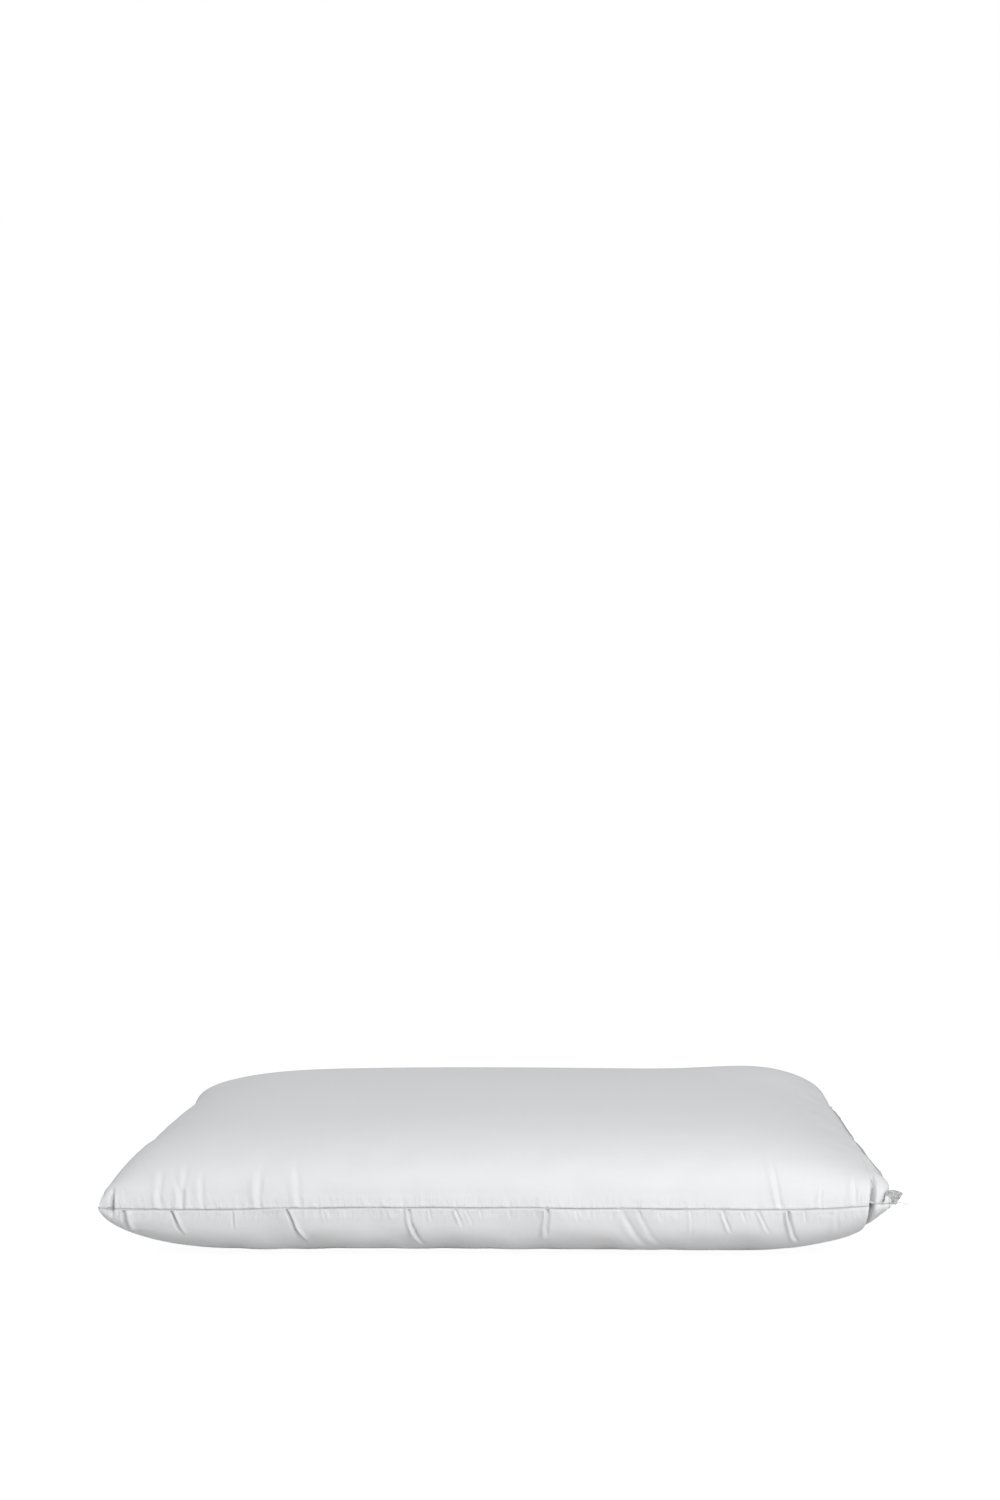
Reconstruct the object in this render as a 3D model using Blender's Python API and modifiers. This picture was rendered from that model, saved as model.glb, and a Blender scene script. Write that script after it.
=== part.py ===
"""Bed pillow: two cotton panels sewn into a knife-edged cover round a loose fibre fill.

The pillow lies flat on +Z up. X is its length, Y its depth, and the front seam faces -Y.
The origin is the middle of the flat patch that it rests on. Sizes are in metres.
"""

import math

import bmesh
import bpy
from mathutils import Vector

# The filled pillow, from corner tip to corner tip and from the floor to the crown.
LENGTH = 0.670
DEPTH = 0.470
HEIGHT = 0.110
SEAM_HEIGHT = 0.049

# The filled cover pulls its sides in between the corners by this much.
END_PULL = 0.011
SIDE_PULL = 0.006
PULL_POWER = 4

# The panels roll over from the seam to the flat of the pillow within these widths.
# A roundness of 2 is a quarter ellipse, and more is squarer.
TOP_ROLL_X = 0.153
TOP_ROLL_Y = 0.130
TOP_ROUNDNESS = 3.0
TOP_CROWN = 0.16
BOTTOM_ROLL_X = 0.150
BOTTOM_ROLL_Y = 0.100
BOTTOM_ROUNDNESS = 2.6

# The cover's cloth, its turned-in seam allowance and its sewing thread.
CLOTH = 0.0008
SEAM_ALLOWANCE = 0.010
THREAD = 0.0006
STITCH_INSET = 0.003
THREAD_END = 0.020
CLEARANCE = 0.0003

# The overlocked edge wraps both raw edges of the allowance.
OVERLOCK_WALL = 0.0005
OVERLOCK_BITE = 0.003
OVERLOCK_END = 0.005

# The folded care label is caught in the right end seam beside the front corner.
LABEL_WIDTH = 0.012
LABEL_THICKNESS = 0.0004
LABEL_FROM_CORNER = 0.009
LABEL_OUT = 0.012
LABEL_SHORT_OF_RAW_EDGE = 0.002
LABEL_STRAIGHT_OUT = 0.001
LABEL_CURL = math.radians(62)

# The fill keeps this far inside the cloth, so that facets never meet.
FILL_CLEARANCE = 0.002

# The two panels' allowances lie on each other with room for the label between them.
SEAM_GAP = LABEL_THICKNESS + 2 * CLEARANCE

PANEL_CELLS = (28, 20)
FILL_CELLS = (20, 14)
EDGE_CROWDING = 0.85
THREAD_POINTS = 13
LABEL_STEPS = 8

COTTON = ("cotton_white", (0.86, 0.86, 0.86, 1), 0.75)
FIBRE = ("fibre_white", (0.93, 0.93, 0.91, 1), 0.95)
SEWING_THREAD = ("thread_white", (0.84, 0.84, 0.83, 1), 0.6)
SATIN = ("label_satin", (0.80, 0.80, 0.80, 1), 0.4)


def clear_scene():
    for old in list(bpy.data.objects):
        bpy.data.objects.remove(old)


def make_material(name, colour, roughness):
    material = bpy.data.materials.new(name)
    material.diffuse_color = colour
    material.use_nodes = True
    shader = material.node_tree.nodes["Principled BSDF"]
    shader.inputs["Base Color"].default_value = colour
    shader.inputs["Roughness"].default_value = roughness
    shader.inputs["Metallic"].default_value = 0
    return material


def add_part(name, data, material, collection):
    part = bpy.data.objects.new(name, data)
    data.materials.append(material)
    collection.objects.link(part)
    return part


def add_solidify(part, thickness, offset):
    wall = part.modifiers.new("Wall", "SOLIDIFY")
    wall.thickness = thickness
    wall.offset = offset
    wall.use_even_offset = True
    return wall


# ---------------------------------------------------------------- the pillow's form


def crowded(s):
    """A share from -1 to 1 moved towards the edges, where the panels turn fastest."""
    return (1 - EDGE_CROWDING) * s + EDGE_CROWDING * math.sin(math.pi / 2 * s)


def seam_point(u, v):
    """The plan position at shares u and v of the half length and half depth, sides pulled in."""
    x = u * (LENGTH / 2 - END_PULL * (1 - abs(v) ** PULL_POWER))
    y = v * (DEPTH / 2 - SIDE_PULL * (1 - abs(u) ** PULL_POWER))
    return x, y


def roll(distance, width, roundness):
    """How far the cloth has risen, 0 at the seam and 1 from a roll's width on."""
    left = max(1 - distance / width, 0)
    return max(1 - left**roundness, 0) ** (1 / roundness)


def top_share(u, v):
    """The top panel's rise over the seam as a share of its most, with a slight crown."""
    rise = roll(LENGTH / 2 * (1 - abs(u)), TOP_ROLL_X, TOP_ROUNDNESS)
    rise *= roll(DEPTH / 2 * (1 - abs(v)), TOP_ROLL_Y, TOP_ROUNDNESS)
    return rise * (1 - TOP_CROWN * (1 - (1 - u * u) * (1 - v * v)))


def bottom_share(u, v):
    """The bottom panel's drop under the seam as a share of its most, flat where it rests."""
    drop = roll(LENGTH / 2 * (1 - abs(u)), BOTTOM_ROLL_X, BOTTOM_ROUNDNESS)
    return drop * roll(DEPTH / 2 * (1 - abs(v)), BOTTOM_ROLL_Y, BOTTOM_ROUNDNESS)


def add_form_grid(bm, cells, share, edge_height, full_height, inset):
    """A grid laid over the pillow's plan, inset all round, and raised or dropped by a share."""
    made = bmesh.ops.create_grid(bm, x_segments=cells[0], y_segments=cells[1], size=1)
    shrink_x = 1 - inset / (LENGTH / 2)
    shrink_y = 1 - inset / (DEPTH / 2)
    for vert in made["verts"]:
        u, v = crowded(vert.co.x), crowded(vert.co.y)
        x, y = seam_point(u, v)
        z = edge_height + (full_height - edge_height) * share(u, v)
        vert.co = Vector((x * shrink_x, y * shrink_y, z))
    return made["verts"]


# ---------------------------------------------------------------- cover and fill


def build_panel(name, share, edge_height, full_height, material, collection):
    """One cut panel of the cover: an open sheet with its seam allowance turned in, given a wall."""
    bm = bmesh.new()
    add_form_grid(bm, PANEL_CELLS, share, edge_height, full_height, 0)
    rim = [edge for edge in bm.edges if edge.is_boundary]
    turned = bmesh.ops.extrude_edge_only(bm, edges=rim)["geom"]
    for vert in turned:
        if isinstance(vert, bmesh.types.BMVert):
            vert.co.x *= 1 - SEAM_ALLOWANCE / (LENGTH / 2)
            vert.co.y *= 1 - SEAM_ALLOWANCE / (DEPTH / 2)
    bmesh.ops.recalc_face_normals(bm, faces=bm.faces)
    crown = max(bm.faces, key=lambda face: abs(face.calc_center_median().z - edge_height))
    if crown.normal.z * (full_height - edge_height) < 0:
        bmesh.ops.reverse_faces(bm, faces=bm.faces)
    mesh = bpy.data.meshes.new(name)
    bm.to_mesh(mesh)
    bm.free()
    mesh.shade_smooth()
    panel = add_part(name, mesh, material, collection)
    add_solidify(panel, CLOTH, -1)
    return panel


def build_fill(name, material, collection):
    """The loose fibre, as one closed cushion inside the cover and clear of its seam allowance."""
    inset = SEAM_ALLOWANCE + OVERLOCK_WALL + 2 * CLEARANCE + FILL_CLEARANCE
    crown = HEIGHT - CLOTH - FILL_CLEARANCE
    floor = CLOTH + FILL_CLEARANCE
    bm = bmesh.new()
    add_form_grid(bm, FILL_CELLS, top_share, SEAM_HEIGHT, crown, inset)
    add_form_grid(bm, FILL_CELLS, bottom_share, SEAM_HEIGHT, floor, inset)
    bmesh.ops.remove_doubles(bm, verts=bm.verts, dist=0.0001)
    bmesh.ops.recalc_face_normals(bm, faces=bm.faces)
    mesh = bpy.data.meshes.new(name)
    bm.to_mesh(mesh)
    bm.free()
    mesh.shade_smooth()
    return add_part(name, mesh, material, collection)


# ---------------------------------------------------------------- sewing


def run_along(side, inset, short_by, z):
    """Points along one side of the seam, this far inside it and stopping short of both corners.

    Every side runs anticlockwise seen from above, so that outwards is always on its right.
    """
    shrink_x = 1 - inset / (LENGTH / 2)
    shrink_y = 1 - inset / (DEPTH / 2)
    along_x = side in ("front", "back")
    half = LENGTH / 2 if along_x else DEPTH / 2
    reach = 1 - short_by / half
    onwards = 1 if side in ("front", "right") else -1
    outwards = 1 if side in ("right", "back") else -1
    points = []
    for step in range(THREAD_POINTS):
        share = onwards * reach * (2 * step / (THREAD_POINTS - 1) - 1)
        x, y = seam_point(share, outwards) if along_x else seam_point(outwards, share)
        points.append((x * shrink_x, y * shrink_y, z))
    return points


def build_run(name, points, material, collection):
    """A curve with one straight-sided spline through the points."""
    curve = bpy.data.curves.new(name, "CURVE")
    curve.dimensions = "3D"
    curve.twist_mode = "Z_UP"
    spline = curve.splines.new("POLY")
    spline.points.add(len(points) - 1)
    for point, place in zip(spline.points, points):
        point.co = (*place, 1)
    curve.use_fill_caps = True
    return add_part(name, curve, material, collection)


def build_threads(side, seam, material, collection):
    """The needle thread on the upper allowance and the bobbin thread under the lower one."""
    lift = SEAM_GAP / 2 + CLOTH + CLEARANCE + THREAD / 2
    for thread, z in (("needle", SEAM_HEIGHT + lift), ("bobbin", SEAM_HEIGHT - lift)):
        points = run_along(side, STITCH_INSET, THREAD_END, z)
        run = build_run(f"{seam}_{thread}_thread", points, material, collection)
        run.data.bevel_depth = THREAD / 2
        run.data.bevel_resolution = 2


def overlock_profile(helpers):
    """A channel section that wraps the two allowances, open on the side that faces the seam."""
    lips = SEAM_GAP / 2 + CLOTH + CLEARANCE
    wrap = lips + OVERLOCK_WALL
    web_in = -CLEARANCE
    web_out = web_in - OVERLOCK_WALL
    outline = [
        (web_out, wrap), (OVERLOCK_BITE, wrap), (OVERLOCK_BITE, lips), (web_in, lips),
        (web_in, -lips), (OVERLOCK_BITE, -lips), (OVERLOCK_BITE, -wrap), (web_out, -wrap),
    ]
    profile = bpy.data.curves.new("overlock_profile", "CURVE")
    profile.dimensions = "2D"
    spline = profile.splines.new("POLY")
    spline.points.add(len(outline) - 1)
    spline.use_cyclic_u = True
    for point, place in zip(spline.points, outline):
        point.co = (*place, 0, 1)
    guide = bpy.data.objects.new("overlock_profile", profile)
    guide.hide_render = True
    guide.display_type = "WIRE"
    helpers.objects.link(guide)
    return guide


def build_overlock(side, seam, profile, material, collection):
    """The overlock thread, its section swept along the allowance's raw edge."""
    short_by = SEAM_ALLOWANCE + OVERLOCK_END
    points = run_along(side, SEAM_ALLOWANCE, short_by, SEAM_HEIGHT)
    run = build_run(f"{seam}_overlock_thread", points, material, collection)
    run.data.bevel_mode = "OBJECT"
    run.data.bevel_object = profile


# ---------------------------------------------------------------- label


def build_label(name, material, collection):
    """A folded satin label: its tail lies between the allowances, and its fold curls up outside."""
    near = -DEPTH / 2 + LABEL_FROM_CORNER
    seam_x, _ = seam_point(1, (near + LABEL_WIDTH / 2) / (DEPTH / 2))
    tail = SEAM_ALLOWANCE - LABEL_SHORT_OF_RAW_EDGE
    straight = tail + LABEL_STRAIGHT_OUT
    curled = LABEL_OUT - LABEL_STRAIGHT_OUT
    radius = curled / LABEL_CURL
    bm = bmesh.new()
    made = bmesh.ops.create_grid(bm, x_segments=LABEL_STEPS, y_segments=1, size=1)
    for vert in made["verts"]:
        along = (vert.co.x + 1) / 2 * (straight + curled)
        turn = max(along - straight, 0) / radius
        x = seam_x - tail + min(along, straight) + radius * math.sin(turn)
        y = near + (vert.co.y + 1) / 2 * LABEL_WIDTH
        vert.co = Vector((x, y, SEAM_HEIGHT + radius * (1 - math.cos(turn))))
    mesh = bpy.data.meshes.new(name)
    bm.to_mesh(mesh)
    bm.free()
    label = add_part(name, mesh, material, collection)
    add_solidify(label, LABEL_THICKNESS, 0)
    return label


def main():
    clear_scene()
    pillow = bpy.data.collections.new("bed_pillow")
    helpers = bpy.data.collections.new("helpers")
    bpy.context.scene.collection.children.link(pillow)
    bpy.context.scene.collection.children.link(helpers)
    cotton = make_material(*COTTON)
    fibre = make_material(*FIBRE)
    thread = make_material(*SEWING_THREAD)
    satin = make_material(*SATIN)

    upper_edge = SEAM_HEIGHT + SEAM_GAP / 2
    lower_edge = SEAM_HEIGHT - SEAM_GAP / 2
    build_panel("top_panel", top_share, upper_edge, HEIGHT, cotton, pillow)
    build_panel("bottom_panel", bottom_share, lower_edge, 0, cotton, pillow)
    build_fill("fibre_fill", fibre, pillow)
    seams = (("front", "front_seam"), ("back", "back_seam"), ("left", "left_seam"),
             ("right", "closing_seam"))
    profile = overlock_profile(helpers)
    for side, seam in seams:
        build_threads(side, seam, thread, pillow)
        build_overlock(side, seam, profile, thread, pillow)
    build_label("care_label", satin, pillow)


main()
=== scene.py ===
"""Bed pillow: a knife-edged cotton cover, sewn shut round a loose fibre fill and lying flat."""

import math

import bpy
import numpy as np
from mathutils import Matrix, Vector


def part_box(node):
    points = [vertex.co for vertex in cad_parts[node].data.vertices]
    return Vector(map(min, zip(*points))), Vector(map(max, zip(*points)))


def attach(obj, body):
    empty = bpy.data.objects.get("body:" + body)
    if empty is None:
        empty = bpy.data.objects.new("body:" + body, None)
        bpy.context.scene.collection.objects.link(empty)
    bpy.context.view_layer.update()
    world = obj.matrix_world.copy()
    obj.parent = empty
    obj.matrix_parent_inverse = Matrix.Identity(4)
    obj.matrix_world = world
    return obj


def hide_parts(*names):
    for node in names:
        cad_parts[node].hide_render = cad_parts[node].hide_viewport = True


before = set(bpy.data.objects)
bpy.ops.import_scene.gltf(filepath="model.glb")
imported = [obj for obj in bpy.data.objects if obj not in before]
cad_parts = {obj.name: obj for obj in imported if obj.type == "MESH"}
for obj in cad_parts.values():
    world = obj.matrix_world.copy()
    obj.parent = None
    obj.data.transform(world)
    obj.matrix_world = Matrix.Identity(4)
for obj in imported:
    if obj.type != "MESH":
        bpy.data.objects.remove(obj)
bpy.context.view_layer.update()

# ---------------------------------------------------------------- studio
# An almost level camera above the pillow and square to its front seam, on a portrait frame with
# a normal lens. A wide soft light stands in front, a small one nearer to the right and a wide
# one behind, in a pale room.

CAMERA_FROM_FRONT = 1.727
CAMERA_RIGHT = 0.0402
CAMERA_HEIGHT = 0.4497
CAMERA_TURN_LEFT = 0.0231
CAMERA_TURN_DOWN = 0.0106
# Each light: its place, the point it is turned to, its width in metres and its watts.
LIGHTS = {
    "key_light": ((0.60, -2.05, 1.65), (0, -0.1, 0.04), 1.2, 35),
    "near_light": ((1.0, -1.30, 0.75), (0.1, -0.1, 0.04), 0.6, 3.6),
    "back_light": ((-1.1, 1.6, 1.45), (0, 0, 0.05), 1.6, 9.5),
}
WALL_TINT = (0.97, 0.985, 1, 1)
WALL_LIGHT = 0.36
FLOOR_WIDTH = 40
FLOOR_GREY = (0.72, 0.72, 0.72, 1)
FLOOR_GLOW = 1.2
FLOOR_GLOW_SHARE = 0.80
# The floor lies this far under the pillow's flat patch, so that the two never share a plane.
FLOOR_GAP = 0.0003

panel_low, panel_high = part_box("bottom_panel")
front_edge = panel_low[1]
floor_height = panel_low[2]

camera_data = bpy.data.cameras.new("camera")
camera_data.sensor_fit = "VERTICAL"
camera_data.sensor_height = 36
camera_data.lens = 50
camera_data.clip_start = 0.05
camera = bpy.data.objects.new("camera", camera_data)
camera.location = (CAMERA_RIGHT, front_edge - CAMERA_FROM_FRONT, floor_height + CAMERA_HEIGHT)
camera.rotation_euler = (math.pi / 2 - CAMERA_TURN_DOWN, 0, CAMERA_TURN_LEFT)
bpy.context.scene.collection.objects.link(camera)
bpy.context.scene.camera = camera
bpy.context.scene.view_settings.view_transform = "Standard"


def soft_light(name, place, aim, width, power):
    """A square area light of this width in metres at a place, turned to its aim."""
    data = bpy.data.lights.new(name, "AREA")
    data.size = width
    data.energy = power
    lamp = bpy.data.objects.new(name, data)
    lamp.location = place
    lamp.rotation_euler = (Vector(aim) - Vector(place)).to_track_quat("-Z", "Y").to_euler()
    bpy.context.scene.collection.objects.link(lamp)


for light_name, light in LIGHTS.items():
    soft_light(light_name, *light)

# The camera sees a white backdrop, and the pillow is lit by the room's pale walls.
room = bpy.data.worlds.new("room")
room.use_nodes = True
bpy.context.scene.world = room
nodes, links = room.node_tree.nodes, room.node_tree.links
backdrop = nodes["Background"]
backdrop.inputs["Color"].default_value = (1, 1, 1, 1)
backdrop.inputs["Strength"].default_value = 1.0
walls = nodes.new("ShaderNodeBackground")
walls.inputs["Color"].default_value = WALL_TINT
walls.inputs["Strength"].default_value = WALL_LIGHT
seen = nodes.new("ShaderNodeLightPath")
choose = nodes.new("ShaderNodeMixShader")
links.new(seen.outputs["Is Camera Ray"], choose.inputs["Fac"])
links.new(walls.outputs["Background"], choose.inputs[1])
links.new(backdrop.outputs["Background"], choose.inputs[2])
links.new(choose.outputs["Shader"], nodes["World Output"].inputs["Surface"])

floor_mesh = bpy.data.meshes.new("studio_floor")
floor_corners = [(x * FLOOR_WIDTH / 2, y * FLOOR_WIDTH / 2, floor_height - FLOOR_GAP)
                 for x, y in ((-1, -1), (1, -1), (1, 1), (-1, 1))]
floor_mesh.from_pydata(floor_corners, [], [(0, 1, 2, 3)])
studio_floor = bpy.data.objects.new("studio_floor", floor_mesh)
bpy.context.scene.collection.objects.link(studio_floor)

# The paper takes the pillow's soft shadow, and glows for the camera, so that it runs into the
# backdrop without an edge.
paper = bpy.data.materials.new("studio_paper")
paper.use_nodes = True
nodes, links = paper.node_tree.nodes, paper.node_tree.links
matt = nodes["Principled BSDF"]
matt.inputs["Base Color"].default_value = FLOOR_GREY
matt.inputs["Roughness"].default_value = 0.9
glow = nodes.new("ShaderNodeEmission")
glow.inputs["Strength"].default_value = FLOOR_GLOW
seen = nodes.new("ShaderNodeLightPath")
share = nodes.new("ShaderNodeMath")
share.operation = "MULTIPLY"
share.inputs[1].default_value = FLOOR_GLOW_SHARE
choose = nodes.new("ShaderNodeMixShader")
links.new(seen.outputs["Is Camera Ray"], share.inputs[0])
links.new(share.outputs["Value"], choose.inputs["Fac"])
links.new(matt.outputs["BSDF"], choose.inputs[1])
links.new(glow.outputs["Emission"], choose.inputs[2])
links.new(choose.outputs["Shader"], nodes["Material Output"].inputs["Surface"])
floor_mesh.materials.append(paper)

# ---------------------------------------------------------------- the cover's filled form
# Two panels of closely woven cotton, cut flat and sewn face to face round the edge, then turned
# and filled. Each rolls over from the seam to the flat of the pillow, and the pillow rests on
# the middle of the bottom one.

LENGTH = panel_high[0] - panel_low[0]
DEPTH = panel_high[1] - panel_low[1]
SEAM_HEIGHT = (panel_high[2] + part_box("top_panel")[0][2]) / 2
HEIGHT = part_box("top_panel")[1][2]
CUT_LENGTH = 0.705
CUT_DEPTH = 0.515
# How far the middle of an end and of a long side is pulled in from the line of its corners.
END_PULL = 0.011
SIDE_PULL = 0.006
# How wide the roll is from an end and from a long side, and the power that rounds it.
TOP_ROLL = (0.153, 0.130)
TOP_ROUNDNESS = 3.0
CLOSED_END_ROUNDNESS = 2.3
BOTTOM_ROLL = (0.150, 0.100)
BOTTOM_ROUNDNESS = 2.6
TOP_CROWN = 0.16
# The cells of the grids on the flat cloth: coarse to settle it, and fine for its tucks, the
# finest in a band along the front seam.
SIM_CELL = 0.006
CELL_ACROSS = 0.0008
CELL_DOWN = 0.0025
CELL_DOWN_FRONT = 0.00125
FRONT_BAND = 0.050


def roll(distance, width, roundness):
    """How far the cloth has risen: 0 at the seam and 1 from a roll's width on, by the
    superellipse (1 - (1 - distance / width)^n)^(1 / n)."""
    left = np.clip(1 - distance / width, 0, 1)
    return (1 - left**roundness) ** (1 / roundness)


def plan(u, v):
    """The plan position at shares u and v of the half sizes. Each side is pulled in between the
    corners, by its pull times one less the fourth power of the other share."""
    x = u * (LENGTH / 2 - END_PULL * (1 - np.abs(v) ** 4))
    y = v * (DEPTH / 2 - SIDE_PULL * (1 - np.abs(u) ** 4))
    return x, y


def top_height(u, v):
    """The seam's height plus the rise: the product of the rolls from the two nearest seams,
    which swells a little more towards the middle. The closed end rolls over more gently."""
    from_end = LENGTH / 2 * (1 - np.abs(u))
    rise = np.where(u > 0, roll(from_end, TOP_ROLL[0], CLOSED_END_ROUNDNESS),
                    roll(from_end, TOP_ROLL[0], TOP_ROUNDNESS))
    rise = rise * roll(DEPTH / 2 * (1 - np.abs(v)), TOP_ROLL[1], TOP_ROUNDNESS)
    swell = 1 - TOP_CROWN * (1 - (1 - u * u) * (1 - v * v))
    return SEAM_HEIGHT + (HEIGHT - SEAM_HEIGHT) * rise * swell


def bottom_height(u, v):
    """The seam's height less the drop, down to the floor, by the same product of rolls."""
    drop = roll(LENGTH / 2 * (1 - np.abs(u)), BOTTOM_ROLL[0], BOTTOM_ROUNDNESS)
    drop = drop * roll(DEPTH / 2 * (1 - np.abs(v)), BOTTOM_ROLL[1], BOTTOM_ROUNDNESS)
    return floor_height + (SEAM_HEIGHT - floor_height) * (1 - drop)


def even_shares(axis, other, height, cut):
    """The shares along an axis that split the cloth's own length over the pillow, at a fixed
    other share, in the same proportions as the cut places split the flat cloth."""
    fine = np.sin(np.linspace(-np.pi / 2, np.pi / 2, 3001))
    fixed = np.full_like(fine, other)
    u, v = (fine, fixed) if axis == 0 else (fixed, fine)
    steps = np.hypot(np.diff(plan(u, v)[axis]), np.diff(height(u, v)))
    arc = np.concatenate([[0], np.cumsum(steps)])
    return np.interp((cut + 1) / 2 * arc[-1], arc, fine)


def filled_form(height, across, down):
    """Points of a filled panel for every pair of cut places, as a grid of X, Y and Z."""
    v_mid = even_shares(1, 0, height, down)
    u_mid = even_shares(0, 0, height, across)
    u = np.stack([even_shares(0, v, height, across) for v in v_mid])
    v = np.stack([even_shares(1, u, height, down) for u in u_mid], axis=1)
    return np.stack([*plan(u, v), height(u, v)], axis=-1)


def edge_mask(grid):
    """True on the outermost rows and columns."""
    mask = np.zeros(grid.shape[:2], bool)
    mask[[0, -1]] = True
    mask[:, [0, -1]] = True
    return mask


def grid_quads(index, flip):
    """The four corners of each cell of a grid of point numbers, wound to face up or down."""
    cells = np.stack([index[:-1, :-1], index[:-1, 1:], index[1:, 1:], index[1:, :-1]], axis=-1)
    cells = cells.reshape(-1, 4)
    return cells[:, ::-1] if flip else cells


def both_forms(across, down):
    """The filled top and bottom panels, meeting on one seam line."""
    top = filled_form(top_height, across, down)
    bottom = filled_form(bottom_height, across, down)
    rim = edge_mask(top)
    top[rim] = bottom[rim] = (top[rim] + bottom[rim]) / 2
    return top, bottom


sim_across = np.linspace(-1, 1, round(CUT_LENGTH / SIM_CELL) + 1)
sim_down = np.linspace(-1, 1, round(CUT_DEPTH / SIM_CELL) + 1)
across = np.linspace(-1, 1, round(CUT_LENGTH / CELL_ACROSS) + 1)
front_rows = np.arange(round(FRONT_BAND / CELL_DOWN_FRONT)) * CELL_DOWN_FRONT
rest_rows = np.linspace(FRONT_BAND, CUT_DEPTH, round((CUT_DEPTH - FRONT_BAND) / CELL_DOWN) + 1)
down = np.concatenate([front_rows, rest_rows]) / (CUT_DEPTH / 2) - 1
top_form, bottom_form = both_forms(across, down)

# ---------------------------------------------------------------- the cloth settles
# The seam is shorter than the cloth beside it, so the spare cloth puckers along the edge. The
# fill holds the middle of both panels, and the sewing holds the seam.

SPARE_CLOTH = 0.022
FREE_FROM_SEAM = 0.025
HELD_FROM_SEAM = 0.085
SEAM_HOLD = 0.5
START_UNEVEN = 0.00005
SETTLE_FRAMES = 12
# The share of the cloth's movement that each panel keeps.
TOP_SHARE = 0.25
BOTTOM_SHARE = 0.5


def distance_to_seam(across, down):
    """How far each point of the flat cut is from its nearest edge, in metres."""
    x = CUT_LENGTH / 2 * (1 - np.abs(across))[None, :]
    y = CUT_DEPTH / 2 * (1 - np.abs(down))[:, None]
    return np.minimum(x, y)


def settle(top, bottom, off_seam):
    """Blender's cloth on both panels, sewn at the rim, with a little more cloth than the form
    and held more the farther it is from the seam, by the square of that distance's share.
    Returns how far each point of the top and of the bottom has moved."""
    rim = edge_mask(top)
    count = rim.size
    top_index = np.arange(count).reshape(rim.shape)
    bottom_index = top_index.copy()
    bottom_index[~rim] = count + np.arange((~rim).sum())
    start = np.concatenate([top.reshape(-1, 3), bottom[~rim]])
    uneven = np.random.default_rng(5).normal(0, START_UNEVEN, start.shape)
    mesh = bpy.data.meshes.new("settling")
    quads = np.concatenate([grid_quads(top_index, False), grid_quads(bottom_index, True)])
    mesh.from_pydata((start + uneven).tolist(), [], quads.tolist())
    cloth_object = bpy.data.objects.new("settling", mesh)
    bpy.context.scene.collection.objects.link(cloth_object)

    hold = np.clip((off_seam - FREE_FROM_SEAM) / (HELD_FROM_SEAM - FREE_FROM_SEAM), 0, 1) ** 2
    hold = np.where(rim, SEAM_HOLD, hold)
    group = cloth_object.vertex_groups.new(name="held")
    for point, weight in enumerate(np.concatenate([hold.ravel(), hold[~rim]])):
        group.add([point], float(weight), "REPLACE")
    modifier = cloth_object.modifiers.new("Cloth", "CLOTH")
    modifier.collision_settings.use_collision = False
    cloth = modifier.settings
    cloth.quality = 6
    cloth.mass = 0.05
    cloth.tension_stiffness = cloth.compression_stiffness = 30
    cloth.shear_stiffness = 15
    cloth.bending_stiffness = 40
    cloth.bending_damping = 3
    cloth.shrink_min = -SPARE_CLOTH
    cloth.use_pressure = True
    cloth.uniform_pressure_force = 1
    cloth.vertex_group_mass = "held"
    cloth.pin_stiffness = 1
    cloth.effector_weights.gravity = 0
    for step in range(1, SETTLE_FRAMES + 1):
        bpy.context.scene.frame_set(step)
    settled = cloth_object.evaluated_get(bpy.context.evaluated_depsgraph_get())
    ended = np.empty(len(start) * 3, np.float32)
    settled.data.vertices.foreach_get("co", ended)
    bpy.data.objects.remove(cloth_object)
    bpy.context.scene.frame_set(1)
    moved = ended.reshape(-1, 3) - start - uneven
    return moved[top_index], moved[bottom_index]


def smoothed(grid, times):
    """A grid of vectors, each replaced that many times by a quarter of both neighbours and a
    half of itself, along both directions."""
    for _ in range(times):
        for axis in (0, 1):
            grid = np.moveaxis(grid, axis, 0)
            padded = np.concatenate([grid[:1], grid, grid[-1:]])
            grid = np.moveaxis(padded[:-2] / 4 + padded[1:-1] / 2 + padded[2:] / 4, 0, axis)
    return grid


def spread_finer(grid):
    """A coarse grid of vectors read on the fine one, by a cubic curve through its points."""
    for axis, shares in ((0, down), (1, across)):
        grid = np.moveaxis(grid, axis, 0)
        at = (shares + 1) / 2 * (len(grid) - 1)
        left = np.minimum(at.astype(int), len(grid) - 2)
        t = (at - left).reshape(-1, *[1] * (grid.ndim - 1))
        p = [grid[np.clip(left + k, 0, len(grid) - 1)] for k in (-1, 0, 1, 2)]
        curve = p[1] + t / 2 * (p[2] - p[0])
        curve += t**2 * (p[0] - 2.5 * p[1] + 2 * p[2] - p[3] / 2)
        curve += t**3 * (1.5 * (p[1] - p[2]) + (p[3] - p[0]) / 2)
        grid = np.moveaxis(curve, 0, axis)
    return grid


off_seam = distance_to_seam(across, down)
sim_top, sim_bottom = both_forms(sim_across, sim_down)
moved = settle(sim_top, sim_bottom, distance_to_seam(sim_across, sim_down))
moved = [smoothed(panel_move, 2) for panel_move in moved]
rim = edge_mask(sim_top)
moved[0][rim] = moved[1][rim] = (moved[0][rim] + moved[1][rim]) / 2
top_form = top_form + TOP_SHARE * spread_finer(moved[0])
bottom_form = bottom_form + BOTTOM_SHARE * spread_finer(moved[1])

# ---------------------------------------------------------------- puckers at the seams
# Sewing gathers the cloth into short sharp tucks that run out from the seam, most of them on
# the bottom panel, where they lean the way the cloth was fed.

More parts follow.
